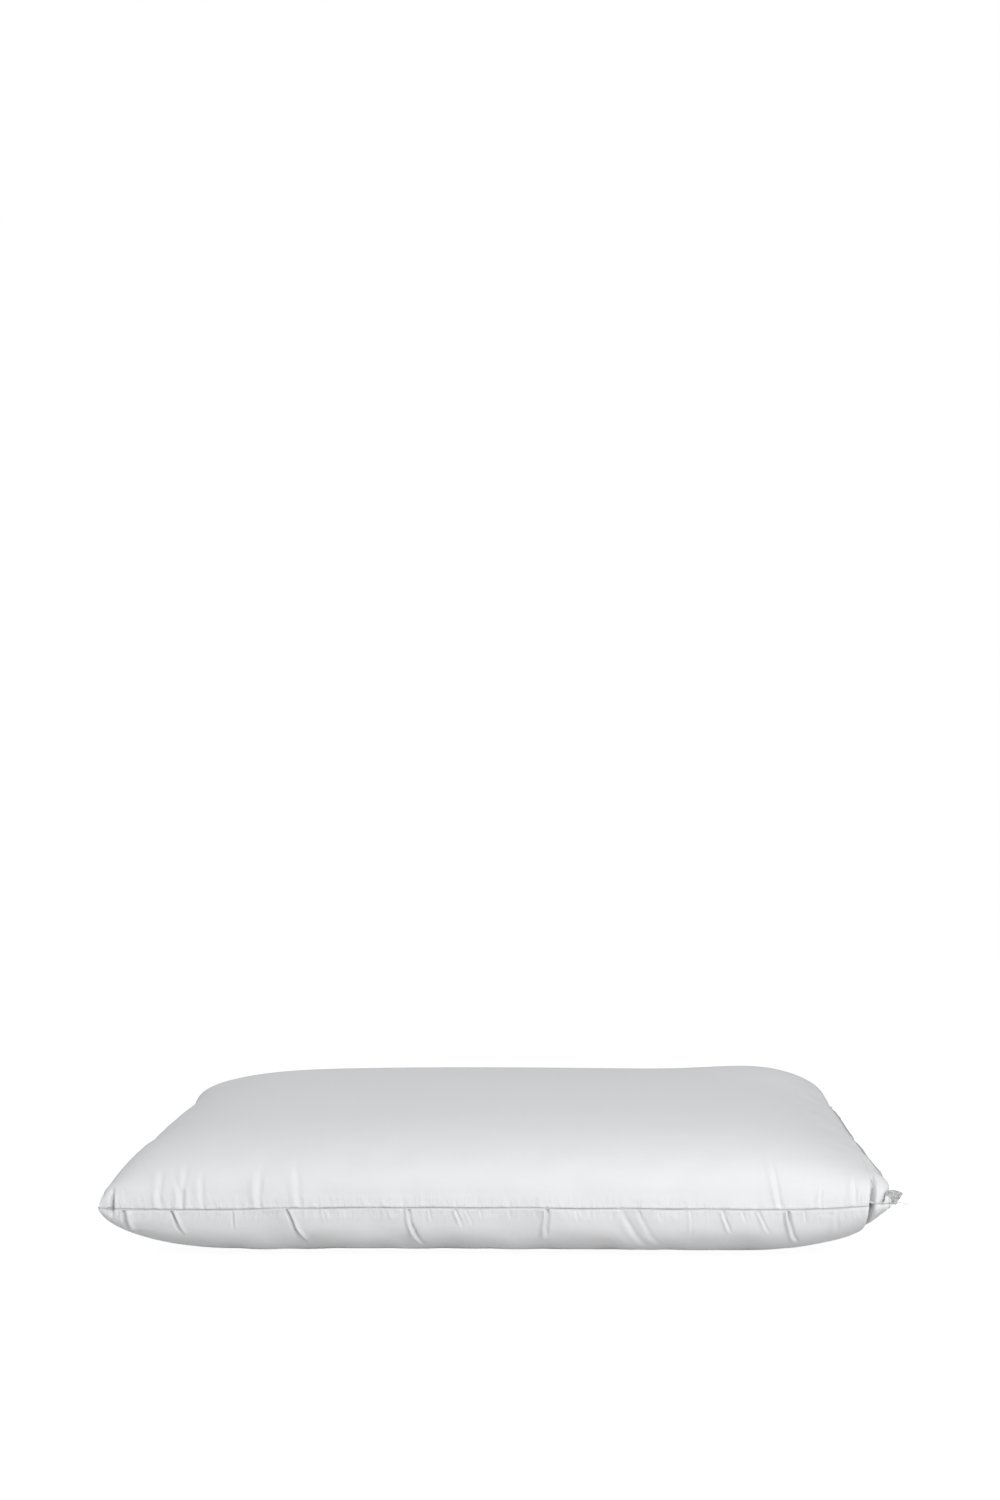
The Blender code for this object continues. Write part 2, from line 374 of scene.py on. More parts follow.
# How far a tuck wavers and by what share its height varies, how fast it widens, how near to the
# seam it is sewn down, and how far from the seam any tuck can reach.
TUCK_WAVER = 0.0002
TUCK_UNEVEN = 0.2
TUCK_SPREAD = 12
TUCK_SEWN_DOWN = 0.0012
TUCK_REACH = 0.08
# The valley's depth and width beside the ridge's, and how many widths each lies off the line.
VALLEY_DEPTH = 1.5
VALLEY_WIDTH = 0.75
OFF_LINE = 0.8
# The share of a side's length that scattered tucks cover.
SCATTERED_SHARE = 0.92


def outward(form, flip):
    """The unit normal of every point of a grid, by the cross product of its two directions."""
    normal = np.cross(np.gradient(form, axis=1), np.gradient(form, axis=0))
    normal /= np.linalg.norm(normal, axis=-1, keepdims=True)
    return -normal if flip else normal


def tuck(x, off, place, length, lean, bend, high, wide):
    """The height of one tuck over the cloth. Its line starts on the seam at place and leaves it
    by lean and bend times the distance and its square, wavering a little by a sine. Across the
    line it is a bell-shaped ridge with a deeper, sharper valley beside it. It widens away from
    the seam, is a fifth higher or lower in places by a sine, is sewn down at the seam, and
    fades by one less the cube of the share of its length. The place also sets where both sines
    start, so that no two tucks are alike."""
    waver = TUCK_WAVER * np.sin(420 * off + 900 * place)
    q = (x - place - lean * off - bend * off**2 - waver) / (wide * (1 + TUCK_SPREAD * off))
    ridge = np.exp(-((q + OFF_LINE) ** 2))
    valley = VALLEY_DEPTH * np.exp(-(((q - OFF_LINE) / VALLEY_WIDTH) ** 2))
    t = np.clip(off / length, 0, 1)
    uneven = 1 + TUCK_UNEVEN * np.sin(260 * off + 2000 * place)
    fade = np.clip(off / TUCK_SEWN_DOWN, 0, 1) * (1 - t**3) ** 1.2
    return high * (ridge - valley) * fade * uneven


# Each tuck: place along the seam, length, lean, bend, height and width. A negative width puts
# the valley first.
FRONT_BOTTOM_TUCKS = (
    (-0.3125, 0.020, 0.20, 0.0, 0.0028, -0.0020),
    (-0.2735, 0.023, 0.42, 0.0, 0.0018, -0.0013),
    (-0.2230, 0.019, 0.08, 0.0, 0.0006, -0.0010),
    (-0.1775, 0.040, 0.38, 1.2, 0.0021, -0.0013),
    (-0.1490, 0.014, 0.25, 0.0, 0.0004, 0.0010),
    (-0.1300, 0.010, 0.10, 0.0, 0.0004, 0.0012),
    (-0.0950, 0.011, 0.30, 0.0, 0.0004, -0.0012),
    (-0.0775, 0.044, 0.10, 5.5, 0.0023, 0.0014),
    (-0.0600, 0.012, 0.15, 0.0, 0.0007, 0.0010),
    (-0.0380, 0.017, 0.35, 0.0, 0.0014, 0.0011),
    (-0.0300, 0.014, 0.45, 0.0, 0.0008, 0.0010),
    (-0.0180, 0.010, 0.30, 0.0, 0.0006, 0.0010),
    (0.0060, 0.010, 0.15, 0.0, 0.0004, 0.0012),
    (0.0390, 0.030, -0.08, 0.0, 0.0023, 0.0015),
    (0.0620, 0.012, 0.25, 0.0, 0.0004, 0.0013),
    (0.0990, 0.046, 0.42, 3.0, 0.0006, 0.0027),
    (0.1130, 0.046, 0.38, 3.0, 0.0004, 0.0024),
    (0.1310, 0.012, 0.20, 0.0, 0.0004, 0.0012),
    (0.1580, 0.022, 0.05, 0.0, 0.0006, 0.0012),
    (0.1840, 0.022, 0.30, 3.0, 0.0013, 0.0012),
    (0.2000, 0.011, 0.35, 0.0, 0.0006, 0.0011),
    (0.2140, 0.022, 0.35, 5.0, 0.0013, 0.0012),
    (0.2385, 0.036, 0.14, 4.0, 0.0030, 0.0015),
    (0.2520, 0.012, 0.20, 0.0, 0.0006, 0.0012),
    (0.2810, 0.026, 0.00, 0.0, 0.0006, 0.0024),
)
FRONT_TOP_TUCKS = (
    (-0.286, 0.034, 0.00, 0.0, 0.0008, 0.0026),
    (-0.268, 0.040, 0.06, 0.0, 0.0010, 0.0026),
    (-0.262, 0.034, -0.25, 0.0, 0.0007, -0.0026),
    (-0.250, 0.034, -0.08, 0.0, 0.0006, 0.0024),
    (-0.203, 0.040, -0.08, 2.0, 0.0008, 0.0028),
    (-0.169, 0.046, -0.14, 0.0, 0.0006, 0.0028),
    (0.232, 0.056, -0.16, 0.0, 0.0011, 0.0020),
    (0.266, 0.018, 0.08, 0.0, 0.0008, 0.0014),
    (0.298, 0.032, 0.00, 0.0, 0.0007, 0.0024),
)


def scattered_tucks(seed, count, half_length):
    """Tucks for the sides that are sewn the same way: the seam is split evenly, and each tuck
    falls by chance within its own stretch, with its shape drawn between two limits."""
    chance = np.random.default_rng(seed)
    places = (np.arange(count) + chance.uniform(0.15, 0.85, count)) / count * 2 - 1
    for place in places * half_length * SCATTERED_SHARE:
        length = chance.uniform(0.015, 0.045)
        wide = chance.choice([-1, 1]) * chance.uniform(0.0024, 0.0032)
        lean, bend = chance.uniform(0, 0.45), chance.uniform(0, 4)
        yield place, length, lean, bend, chance.uniform(0.0004, 0.0013), wide


def tucked(form, flip, sides):
    """A panel raised along its normals by the tucks of all its sides."""
    normal = outward(form, flip)
    x, y = form[..., 0], form[..., 1]
    from_front = CUT_DEPTH / 2 * (1 + down)[:, None] + 0 * x
    from_left = CUT_LENGTH / 2 * (1 + across)[None, :] + 0 * x
    runs = {
        "front": (x, from_front),
        "back": (-x, CUT_DEPTH - from_front),
        "left": (-y, from_left),
        "right": (y, CUT_LENGTH - from_left),
    }
    raised = np.zeros_like(x)
    for side, tucks in sides.items():
        along, off = runs[side]
        near = off < TUCK_REACH
        for one in tucks:
            raised[near] += tuck(along[near], off[near], *one)
    return form + normal * raised[..., None]


half_cut = (CUT_LENGTH / 2, CUT_DEPTH / 2)
bottom_form = tucked(bottom_form, True, {
    "front": FRONT_BOTTOM_TUCKS,
    "back": scattered_tucks(11, 17, half_cut[0]),
    "left": scattered_tucks(12, 11, half_cut[1]),
    "right": scattered_tucks(13, 12, half_cut[1]),
})
top_form = tucked(top_form, False, {
    "front": FRONT_TOP_TUCKS,
    "back": scattered_tucks(21, 8, half_cut[0]),
    "left": scattered_tucks(22, 6, half_cut[1]),
})

# ---------------------------------------------------------------- corners and closed end
# The corners hold little fill, so the cloth creases across each of them and leaves a small flat
# ear beyond the crease. The right end was sewn shut last, and its edge stands out as a low fin.

# How far the closing seam is lifted, its end drawn in behind it and its edge drawn out, and how
# far from the seam each of the three reaches.
FIN_RISE, RISE_REACH = 0.014, 0.030
END_DRAWN_IN, DRAWN_IN_REACH = 0.003, 0.060
FIN, FIN_REACH = 0.006, 0.0045
FIN_FROM_BACK = 0.15
FIN_FROM_FRONT = 0.09
EDGE_STITCH_IN = 0.003
CHANNEL_DEPTH = 0.0006
CHANNEL_WIDTH = 0.0010


def pulled(form, at, by, reach):
    """Moves the cloth round a point by a vector times a bell curve of the distance from it."""
    far = np.linalg.norm(form - np.array(at), axis=-1, keepdims=True)
    return form + np.array(by) * np.exp(-((far / reach) ** 2))


def plumped(form, at, reach, above, below):
    """Swells the cloth away from a point's height, by one share above it and another below it,
    each times a bell curve of the distance from the point."""
    far = np.linalg.norm(form - np.array(at), axis=-1)
    off = form[..., 2] - at[2]
    share = np.where(off > 0, above, below) * np.exp(-((far / reach) ** 2))
    moved = form.copy()
    moved[..., 2] += off * share
    return moved


def creased(form, x_sign, y_sign, from_tip, deep, wide, low, high, lean=0.0, set_back=0.0):
    """Pushes the cloth in along Y over a narrow upright line near one corner, by deep times a
    bell curve across the line and half a sine between two heights, and sets what lies beyond
    the line back by set_back, by a hyperbolic tangent."""
    x, y, z = np.moveaxis(form, -1, 0)
    q = (x_sign * x - LENGTH / 2 + from_tip - lean * (z - SEAM_HEIGHT)) / wide
    height = np.clip((z - low) / (high - low), 0, 1)
    near = np.clip((y * y_sign - DEPTH / 4) / (DEPTH / 8), 0, 1)
    push = deep * np.exp(-(q**2)) * np.sin(np.pi * height) + set_back * (1 + np.tanh(q)) / 2
    moved = form.copy()
    moved[..., 1] -= y_sign * push * near
    return moved


def closed_end(form):
    """Lifts the closing seam with the end drawn in behind it, and draws its edge out into a
    fin, all by bell curves of the distance from it. They ease out towards both corners by
    three times the square less twice the cube of the share of the way."""
    edge = form[:, -1:]
    far = np.hypot(form[..., 0] - edge[..., 0], form[..., 2] - edge[..., 2])
    from_back = np.clip((DEPTH / 2 - edge[..., 1]) / FIN_FROM_BACK, 0, 1)
    from_front = np.clip((DEPTH / 2 + edge[..., 1]) / FIN_FROM_FRONT, 0, 1)
    along = from_back**2 * (3 - 2 * from_back) * from_front**2 * (3 - 2 * from_front)
    moved = form.copy()
    moved[..., 2] += FIN_RISE * along * np.exp(-((far / RISE_REACH) ** 2))
    moved[..., 0] -= END_DRAWN_IN * np.sqrt(along) * np.exp(-((far / DRAWN_IN_REACH) ** 2))
    moved[..., 0] += FIN * along * np.exp(-((far / FIN_REACH) ** 2))
    return moved


def edge_channel(form, flip):
    """Sinks a shallow channel beside the closing seam, where the edge stitching pulls in, by a
    bell curve of the distance from the stitches."""
    off = CUT_LENGTH / 2 * (1 - across)[None, :, None]
    dent = CHANNEL_DEPTH * np.exp(-(((off - EDGE_STITCH_IN) / CHANNEL_WIDTH) ** 2))
    return form - outward(form, flip) * dent


def cornered(form):
    """All four corners of a panel, and its closed end."""
    form = closed_end(form)
    # The front left corner hangs a little, as far as the first tucks.
    form = pulled(form, at=(-0.300, -0.235, SEAM_HEIGHT), by=(0, 0, -0.0045), reach=0.110)
    # The front right ear: drawn in and up, puffed out above its seam and flat below it, with a
    # deep crease in front of it.
    form = pulled(form, at=(0.335, -0.235, SEAM_HEIGHT), by=(-0.010, 0, 0.005), reach=0.045)
    form = plumped(form, at=(0.325, -0.235, SEAM_HEIGHT + 0.004), reach=0.028,
                   above=0.38, below=-0.20)
    form = pulled(form, at=(0.322, -0.215, 0.067), by=(0.0050, 0, 0.0016), reach=0.014)
    form = pulled(form, at=(0.282, -0.215, 0.010), by=(0, 0, 0.003), reach=0.035)
    form = creased(form, 1, -1, from_tip=0.0262, deep=0.020, wide=0.0018, low=0.022, high=0.084,
                   lean=0.10, set_back=0.006)
    # The front left ear: a small pointed one, with the fill pushed up behind it.
    form = pulled(form, at=(-0.335, -0.235, SEAM_HEIGHT), by=(0.0012, 0, 0.001), reach=0.012)
    form = pulled(form, at=(-0.320, -0.190, 0.072), by=(-0.0010, 0, 0.0045), reach=0.080)
    form = plumped(form, at=(-0.335, -0.235, SEAM_HEIGHT), reach=0.012, above=0.4, below=0.0)
    form = creased(form, -1, -1, from_tip=0.0112, deep=0.009, wide=0.0012, low=0.040, high=0.064)
    # The back corners: less fill in the left one and more in the right one, each with a crease.
    form = pulled(form, at=(-0.322, 0.130, 0.076), by=(0.003, 0, -0.005), reach=0.110)
    form = pulled(form, at=(0.284, 0.178, 0.086), by=(-0.001, 0, 0.0110), reach=0.075)
    form = creased(form, 1, 1, from_tip=0.020, deep=0.006, wide=0.0028, low=0.034, high=0.064)
    return creased(form, -1, 1, from_tip=0.018, deep=0.006, wide=0.0026, low=0.034, high=0.064)


top_form = edge_channel(cornered(top_form), False)
bottom_form = edge_channel(cornered(bottom_form), True)
top_form[:, -1] = bottom_form[:, -1] = (top_form[:, -1] + bottom_form[:, -1]) / 2
bottom_form[..., 2] = np.maximum(bottom_form[..., 2], floor_height)

# ---------------------------------------------------------------- cotton panels
# Bleached cotton cambric. At the seam each panel turns in over a small radius, and its 10 mm
# seam allowance lies flat against the other one inside.

TURN_RADIUS = 0.0006
SEAM_ALLOWANCE = 0.010
SEAM_GAP = 0.0002
ALLOWANCE_STEPS = 4
# Where the turn is pulled tight at the front ear, how far that reaches, and by what share.
TIGHT_AT = (0.318, -DEPTH / 2, SEAM_HEIGHT)
TIGHT_REACH = 0.022
TIGHT_SHARE = 0.85


def seam_loop(grid):
    """The outermost points of a grid, once round, anticlockwise from the front left corner."""
    return np.concatenate([grid[0, :-1], grid[:-1, -1], grid[-1, :0:-1], grid[:0:-1, 0]])


def inset(points, run):
    """Points moved in from the seam, by the run in full along each axis at a corner, and less
    along an axis the nearer they are to its middle."""
    moved = points.copy()
    moved[:, 0] -= run * points[:, 0] / (LENGTH / 2)
    moved[:, 1] -= run * points[:, 1] / (DEPTH / 2)
    return moved


def build_panel(name, node, form, flip):
    """A panel's face, whose edge turns in over a quarter circle and runs on as the allowance.
    At the front ear of the closed end the cloth is pulled tight, and the turn all but closes."""
    towards_seam = 1 if flip else -1
    index = np.arange(form[..., 0].size).reshape(form.shape[:2])
    loop = seam_loop(index)
    points = form.reshape(-1, 3).copy()
    far = np.linalg.norm(points[loop] - TIGHT_AT, axis=1)
    turned = TURN_RADIUS * (1 - TIGHT_SHARE * np.exp(-((far / TIGHT_REACH) ** 2)))
    points[loop, 2] -= towards_seam * (turned + SEAM_GAP / 2)
    edge = points[loop]
    turn = np.linspace(0, math.pi / 2, 4)[1:]
    flat_runs = SEAM_ALLOWANCE * np.arange(1, ALLOWANCE_STEPS + 1) / ALLOWANCE_STEPS
    runs = np.concatenate([TURN_RADIUS * (1 - np.cos(turn)), TURN_RADIUS + flat_runs])
    rises = np.concatenate([np.sin(turn), np.ones(ALLOWANCE_STEPS)])
    cells = [grid_quads(index, flip)]
    for run, rise in zip(runs, rises):
        ring = inset(edge, run)
        ring[:, 2] += towards_seam * rise * turned
        fresh = len(points) + np.arange(len(ring))
        cell = np.stack([loop, np.roll(loop, -1), np.roll(fresh, -1), fresh], axis=-1)
        cells.append(cell if flip else cell[:, ::-1])
        points = np.concatenate([points, ring])
        loop = fresh
    quads = np.concatenate(cells)
    mesh = bpy.data.meshes.new(name)
    mesh.from_pydata(points.tolist(), [], quads.tolist())
    flat = points[:, :2].copy()
    cut = np.meshgrid(across * CUT_LENGTH / 2, down * CUT_DEPTH / 2)
    flat[: index.size] = np.stack(cut, axis=-1).reshape(-1, 2)
    layer = mesh.uv_layers.new(name="cloth")
    layer.data.foreach_set("uv", flat[quads.ravel()].ravel())
    mesh.shade_smooth()
    panel = bpy.data.objects.new(name, mesh)
    bpy.context.scene.collection.objects.link(panel)
    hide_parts(node)
    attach(panel, "root")
    return panel


top_cloth = build_panel("top_cloth", "top_panel", top_form, False)
bottom_cloth = build_panel("bottom_cloth", "bottom_panel", bottom_form, True)


def node_maker(tree):
    """A short way to add nodes: a type, a few sockets by name or number, and settings."""
    def make(kind, sockets=(), **settings):
        node = tree.nodes.new(kind)
        for key, value in settings.items():
            setattr(node, key, value)
        for key, value in dict(sockets).items():
            if isinstance(value, bpy.types.NodeSocket):
                tree.links.new(value, node.inputs[key])
            else:
                node.inputs[key].default_value = value
        return node
    return make


def reckon(make, operation, *values):
    """The result of a Math node on these numbers and sockets."""
    return make("ShaderNodeMath", enumerate(values), operation=operation).outputs[0]


def new_material(name):
    """A material, a short way to add its nodes, and its shader."""
    material = bpy.data.materials.new(name)
    material.use_nodes = True
    tree = material.node_tree
    return material, node_maker(tree), tree.nodes["Principled BSDF"]


def finish_surface(make, shader, share, first, second, height, distance=1.0, strength=1.0):
    """Gives a shader a colour that goes from the first to the second as the share goes from 0
    to 1, and relief from a height."""
    tone = make("ShaderNodeMix", {"Factor": share}, data_type="RGBA")
    tone.inputs["A"].default_value = first
    tone.inputs["B"].default_value = second
    bump = make("ShaderNodeBump", {"Height": height, "Distance": distance, "Strength": strength})
    links = shader.id_data.links
    links.new(tone.outputs["Result"], shader.inputs["Base Color"])
    links.new(bump.outputs["Normal"], shader.inputs["Normal"])


def new_group(name, inputs, outputs):
    """An empty shader node group with these sockets, its input node and its output node."""
    group = bpy.data.node_groups.new(name, "ShaderNodeTree")
    for socket, kind in inputs:
        group.interface.new_socket(name=socket, in_out="INPUT", socket_type=kind)
    for socket, kind in outputs:
        group.interface.new_socket(name=socket, in_out="OUTPUT", socket_type=kind)
    return group, group.nodes.new("NodeGroupInput"), group.nodes.new("NodeGroupOutput")


# The weave: a plain weave's over and under as the product of two cosines, and slubs, which are
# thicker stretches of single threads, as noise drawn out along the warp and the weft.
weave, given, result = new_group(
    "plain_weave",
    (("Vector", "NodeSocketVector"), ("Threads per Metre", "NodeSocketFloat"),
     ("Weave Depth", "NodeSocketFloat"), ("Slub Depth", "NodeSocketFloat")),
    (("Height", "NodeSocketFloat"), ("Slub", "NodeSocketFloat")),
)
make = node_maker(weave)
turns = reckon(make, "MULTIPLY", given.outputs["Threads per Metre"], math.pi)
phase = make("ShaderNodeVectorMath", {0: given.outputs["Vector"], "Scale": turns},
             operation="SCALE")
phases = make("ShaderNodeSeparateXYZ", {0: phase.outputs[0]})
warp = reckon(make, "COSINE", phases.outputs["X"])
weft = reckon(make, "COSINE", phases.outputs["Y"])
crossing = reckon(make, "MULTIPLY", warp, weft)
slubs = []
for scale in ((2600, 60, 1), (60, 2600, 1)):
    stretched = make("ShaderNodeMapping", {"Vector": given.outputs["Vector"], "Scale": scale})
    slubs.append(make("ShaderNodeTexNoise", {"Vector": stretched.outputs[0], "Scale": 1.0,
                                             "Detail": 1.0}, noise_dimensions="2D"))
both = reckon(make, "ADD", slubs[0].outputs["Fac"], slubs[1].outputs["Fac"])
slub = reckon(make, "MULTIPLY", both, 0.5)
fine = reckon(make, "MULTIPLY", crossing, given.outputs["Weave Depth"])
height = reckon(make, "MULTIPLY_ADD", slub, given.outputs["Slub Depth"], fine)
weave.links.new(height, result.inputs["Height"])
weave.links.new(slub, result.inputs["Slub"])

COTTON = (0.86, 0.86, 0.865, 1)
COTTON_SHADE = (0.825, 0.825, 0.83, 1)
RIDGE_WIDTH = 0.016
# Places over the ridge's width, and the height there, for the allowance under the cloth.
RIDGE_STOPS = ((0.0, 0.2), (0.13, 0.9), (0.24, 0.35), (0.5, 0.62), (0.72, 0.5), (1.0, 0.5))
RIDGE_DEPTH = 0.0007
GATHER_DEPTH = 0.0018
CRINKLE_DEPTH = 0.0006

cotton, make, shader = new_material("cotton_cambric")
cloth_map = make("ShaderNodeUVMap", uv_map="cloth")
woven = make("ShaderNodeGroup", node_tree=weave)
cotton.node_tree.links.new(cloth_map.outputs[0], woven.inputs["Vector"])
woven.inputs["Threads per Metre"].default_value = 4400
woven.inputs["Weave Depth"].default_value = 0.00003
woven.inputs["Slub Depth"].default_value = 0.00012

# How far each point lies from the seam, for the ridge of the allowance under the cloth and
# the small gathers that the stitches pull.
cut_place = make("ShaderNodeSeparateXYZ", {0: cloth_map.outputs[0]})
aside = reckon(make, "ABSOLUTE", cut_place.outputs["X"])
away = reckon(make, "ABSOLUTE", cut_place.outputs["Y"])
to_end = reckon(make, "SUBTRACT", CUT_LENGTH / 2, aside)
to_side = reckon(make, "SUBTRACT", CUT_DEPTH / 2, away)
to_seam = reckon(make, "MINIMUM", to_end, to_side)
ridge_at = make("ShaderNodeMapRange", {"Value": to_seam, "From Min": 0.0,
                                       "From Max": RIDGE_WIDTH})
ridge = make("ShaderNodeValToRGB", {"Fac": ridge_at.outputs[0]})
ridge.color_ramp.interpolation = "B_SPLINE"
while len(ridge.color_ramp.elements) < len(RIDGE_STOPS):
    ridge.color_ramp.elements.new(0.5)
for element, (position, value) in zip(ridge.color_ramp.elements, RIDGE_STOPS):
    element.position = position
    element.color = (value, value, value, 1)
drawn_out = make("ShaderNodeMapping", {"Vector": cloth_map.outputs[0], "Scale": (1, 0.4, 1)})
gather_noise = make("ShaderNodeTexNoise", {"Vector": drawn_out.outputs[0], "Scale": 180.0,
                                           "Detail": 2.5}, noise_dimensions="2D")
near_seam = make("ShaderNodeMapRange", {"Value": to_seam, "From Min": 0.0005,
                                        "From Max": 0.014, "To Min": 1.0, "To Max": 0.0},
                 interpolation_type="SMOOTHSTEP")
gathers = reckon(make, "MULTIPLY", gather_noise.outputs["Fac"], near_seam.outputs[0])
crinkle = make("ShaderNodeTexNoise", {"Vector": cloth_map.outputs[0], "Scale": 34.0,
                                      "Detail": 3.0, "Roughness": 0.55}, noise_dimensions="2D")
total = woven.outputs["Height"]
for source, depth in ((ridge.outputs["Color"], RIDGE_DEPTH), (gathers, GATHER_DEPTH),
                      (crinkle.outputs["Fac"], CRINKLE_DEPTH)):
    total = reckon(make, "MULTIPLY_ADD", source, depth, total)
finish_surface(make, shader, woven.outputs["Slub"], COTTON, COTTON_SHADE, total)
shader.inputs["Roughness"].default_value = 0.72
shader.inputs["Specular IOR Level"].default_value = 0.35
shader.inputs["Sheen Weight"].default_value = 0.12
shader.inputs["Sheen Roughness"].default_value = 0.4
for cloth in (top_cloth, bottom_cloth):
    cloth.data.materials.append(cotton)

# ---------------------------------------------------------------- fibre fill
# Crimped hollow polyester fibre, blown in loose through the open end before it was closed. It
# swells against the cloth and round the seam allowances, and is a little lumpy.

FILL_INSIDE_CLOTH = 0.003
FILL_PAST_ALLOWANCE = 0.0025
FILL_CELL = 0.005
FILL_LUMPS = 0.004
FIBRE_SHADE = (0.78, 0.79, 0.81, 1)
FIBRE = (0.92, 0.92, 0.93, 1)

fill_from_seam = SEAM_ALLOWANCE + FILL_PAST_ALLOWANCE
picks = []
for shares, cut in ((down, CUT_DEPTH), (across, CUT_LENGTH)):
    ends = 1 - fill_from_seam / (cut / 2)
    wanted = np.linspace(-ends, ends, round(cut / FILL_CELL))
    picks.append(np.searchsorted(shares, wanted))
chance = np.random.default_rng(31)
fill_faces = []
for form, flip in ((top_form, False), (bottom_form, True)):
    inside = form - outward(form, flip) * FILL_INSIDE_CLOTH
    face = inside[np.ix_(*picks)]
    lumps = smoothed(chance.normal(0, 1, face.shape[:2])[..., None], 3)
    face[..., 2:] += (1 if flip else -1) * FILL_LUMPS * np.abs(lumps)
    fill_faces.append(face)
fill_rim = edge_mask(fill_faces[0])
seam_points = inset(top_form[np.ix_(*picks)][fill_rim], fill_from_seam / 2)
seam_points[:, 2] = (fill_faces[0][fill_rim, 2] + fill_faces[1][fill_rim, 2]) / 2
fill_top = np.arange(fill_rim.size).reshape(fill_rim.shape)
fill_bottom = fill_top.copy()
fill_bottom[~fill_rim] = fill_rim.size + np.arange((~fill_rim).sum())
fill_faces[0][fill_rim] = seam_points
fill_mesh = bpy.data.meshes.new("loose_fibre")
fill_mesh.from_pydata(
    np.concatenate([fill_faces[0].reshape(-1, 3), fill_faces[1][~fill_rim]]).tolist(), [],
    np.concatenate([grid_quads(fill_top, False), grid_quads(fill_bottom, True)]).tolist())
fill_mesh.shade_smooth()
loose_fibre = bpy.data.objects.new("loose_fibre", fill_mesh)
bpy.context.scene.collection.objects.link(loose_fibre)
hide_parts("fibre_fill")
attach(loose_fibre, "root")

fibre, make, shader = new_material("polyester_fibre")
fill_place = make("ShaderNodeTexCoord").outputs["Object"]
swirl = make("ShaderNodeTexNoise", {"Vector": fill_place, "Scale": 60.0, "Detail": 2.0})
bent = make("ShaderNodeVectorMath", {0: swirl.outputs["Color"], 1: (0.03, 0.03, 0.03),
                                     2: fill_place}, operation="MULTIPLY_ADD")
strands = make("ShaderNodeTexVoronoi", {"Vector": bent.outputs[0], "Scale": 700.0},
               feature="DISTANCE_TO_EDGE")
tufts = make("ShaderNodeTexNoise", {"Vector": bent.outputs[0], "Scale": 160.0, "Detail": 5.0,
                                    "Roughness": 0.7})
relief = reckon(make, "MULTIPLY_ADD", strands.outputs["Distance"], 0.6, tufts.outputs["Fac"])
finish_surface(make, shader, tufts.outputs["Fac"], FIBRE_SHADE, FIBRE, relief,
               distance=0.0012, strength=0.9)
shader.inputs["Roughness"].default_value = 0.85
shader.inputs["Sheen Weight"].default_value = 0.3
fill_mesh.materials.append(fibre)

# ---------------------------------------------------------------- sewing threads
# Spun polyester thread. Three sides are locked with a needle and a bobbin thread just inside
# the turn, with their raw edges oversewn. The closed end is edge-stitched and oversewn outside.

STITCH = 0.0025
THREAD_RADIUS = 0.00017
THREAD_SIDES = 5
TWISTS_PER_METRE = 1400.0
# The thread's two greys are painted shade: they stand in for the dark shadow line along the
# closed end's edge, and the darker one lies in the grooves of the twist.
THREAD_PAINTED_GREY = (0.55, 0.55, 0.55, 1)
THREAD_GROOVE_PAINTED_SHADE = (0.30, 0.30, 0.30, 1)
# How far a lockstitch stands off the cloth and apart from its partner, and the share of a
# stitch over which it dips in.
STITCH_RISE = 0.0004
STITCH_APART = 0.0002
DIP_WIDTH = 0.14
EDGE_DIP = 0.0010
EDGE_LEAN = (0.75, 0, 0.66)
# An overlock loop's half width and half height, and how far in its middle lies: inside, from
# the raw edge, and at the closed end, from the seam.
RAW_LOOP = (0.0021, 0.0008)
RAW_LOOP_IN = TURN_RADIUS + SEAM_ALLOWANCE - 0.0014
OUTER_LOOP = (0.0017, 0.0016)
OUTER_LOOP_IN = 0.0008
# The loose end of the closing seam's needle thread, from the front corner, tip first.
THREAD_TAIL = ((0.0135, 0.001, -0.0012), (0.0100, 0.000, 0.0006), (0.0062, 0.0006, 0.0012),
               (0.0030, -0.0004, 0.0004), (0.0008, 0.0002, 0.0004))
# The grid column that the closing seam's two threads run on, beside its channel.
EDGE_COLUMN = -4
# Each side's seam line, and the lines of its needle and its bobbin thread on the two panels.
SIDES = {
    "front": (top_form[0], (top_form[0], bottom_form[0])),
    "closing": (top_form[:, -1], (top_form[:, EDGE_COLUMN], bottom_form[:, EDGE_COLUMN])),
    "back": (top_form[-1, ::-1], (top_form[-1, ::-1], bottom_form[-1, ::-1])),
    "left": (top_form[::-1, 0], (top_form[::-1, 0], bottom_form[::-1, 0])),
}


def paced(points, per_stitch):
    """A line read at even steps along its length, a whole number of stitches long, with the
    stitches done at every step and the level direction square to the line there, inwards."""
    arc = np.concatenate([[0], np.cumsum(np.linalg.norm(np.diff(points, axis=0), axis=1))])
    stitches = round(arc[-1] / STITCH)
    at = np.linspace(0, arc[-1], stitches * per_stitch + 1)
    line = np.stack([np.interp(at, arc, points[:, k]) for k in range(3)], axis=1)
    onward = np.gradient(line, axis=0)
    inward = np.stack([-onward[:, 1], onward[:, 0], 0 * at], axis=1)
    inward /= np.linalg.norm(inward, axis=1, keepdims=True)
    return line, np.arange(len(at)) / per_stitch, inward


